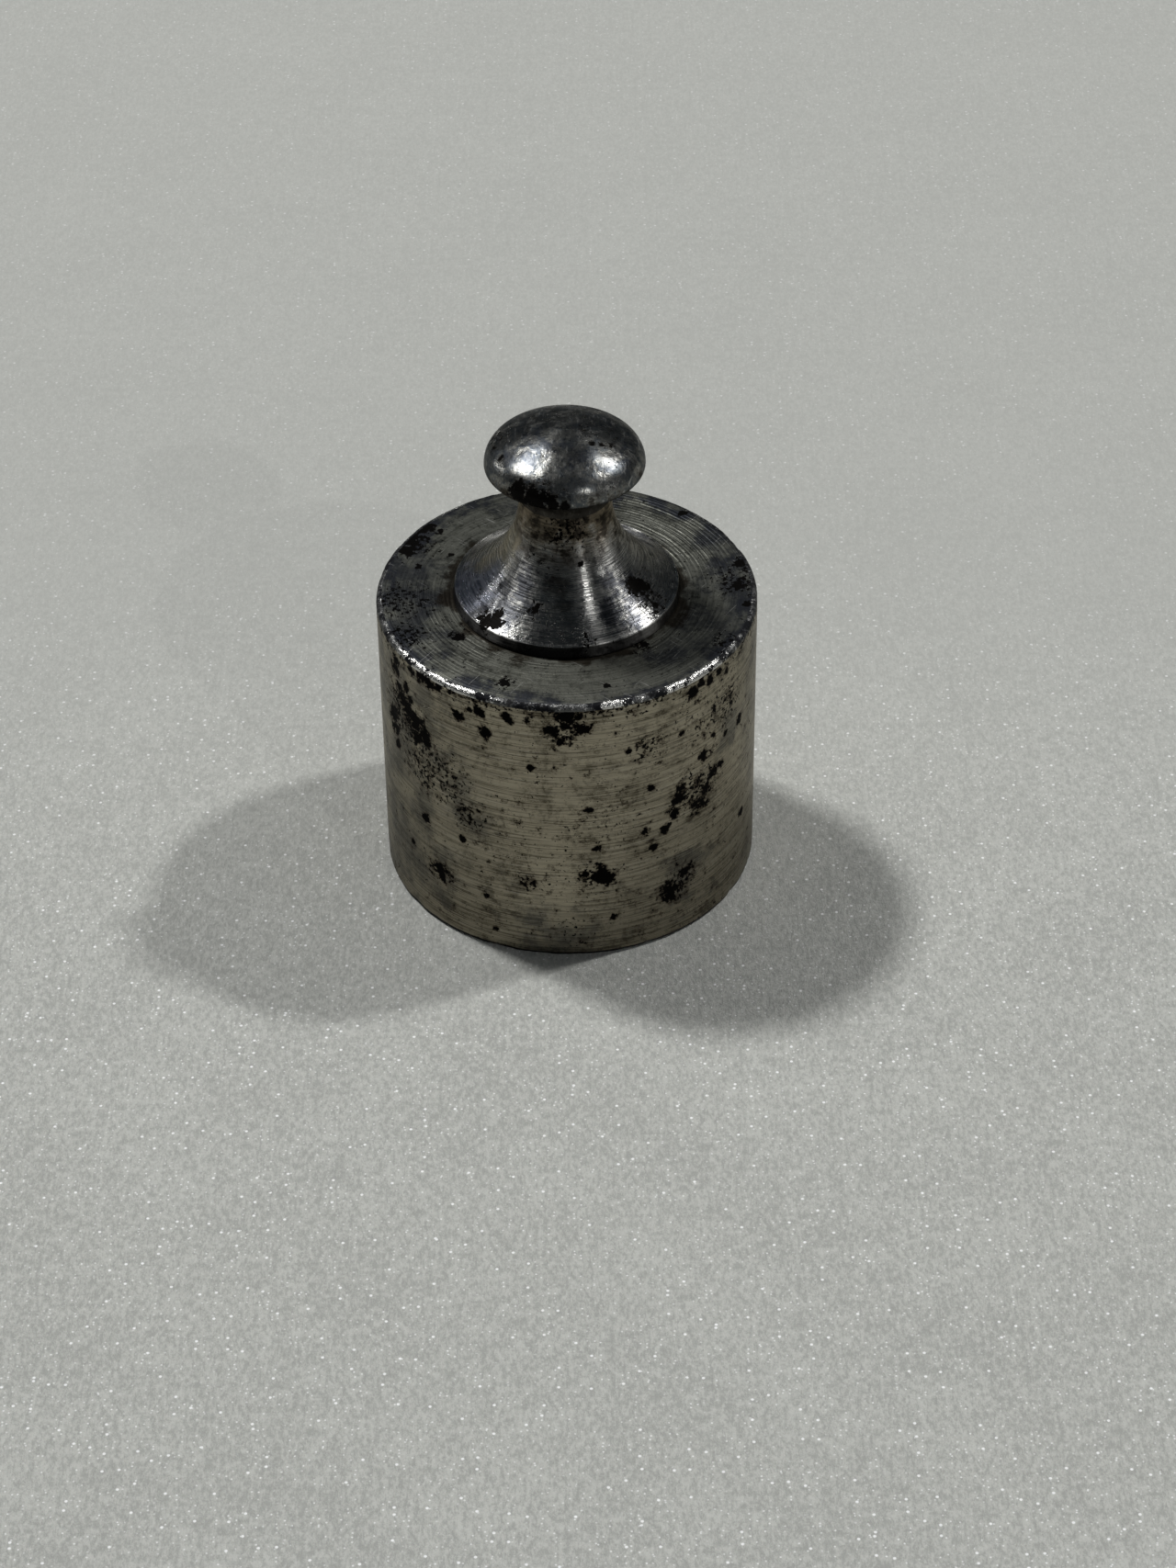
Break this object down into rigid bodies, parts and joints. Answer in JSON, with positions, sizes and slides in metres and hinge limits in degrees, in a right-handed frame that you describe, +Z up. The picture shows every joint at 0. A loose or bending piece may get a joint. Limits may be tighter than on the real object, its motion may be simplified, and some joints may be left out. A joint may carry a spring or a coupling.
{
  "type": "scale weight",
  "caption": "Knob-type scale weight: a turned, plated metal cylinder with a screw-in lifting knob over an adjusting cavity.",
  "frame": {"origin": "middle of the flat base, on the surface that the weight stands on", "axes": "+Z up along the turning axis, +X to the right as seen in the picture, +Y away from the camera"},
  "size_m": [0.0205, 0.0204, 0.0277],
  "materials": {
    "body_plating": "worn nickel plate over brass, turned and brushed, with dark corrosion spots",
    "knob_plating": "worn nickel plate over brass, polished, tarnished blue-grey",
    "lead": null
  },
  "bodies": {
    "body": {"weight_body": "body_plating", "adjusting_shot": "lead"},
    "knob": {"lifting_knob": "knob_plating"}
  },
  "joints": [
    {"name": "knob_lift", "type": "slide", "parent": "body", "child": "knob", "axis": [0, 0, 1], "range_m": [0, 0.01]}
  ]
}
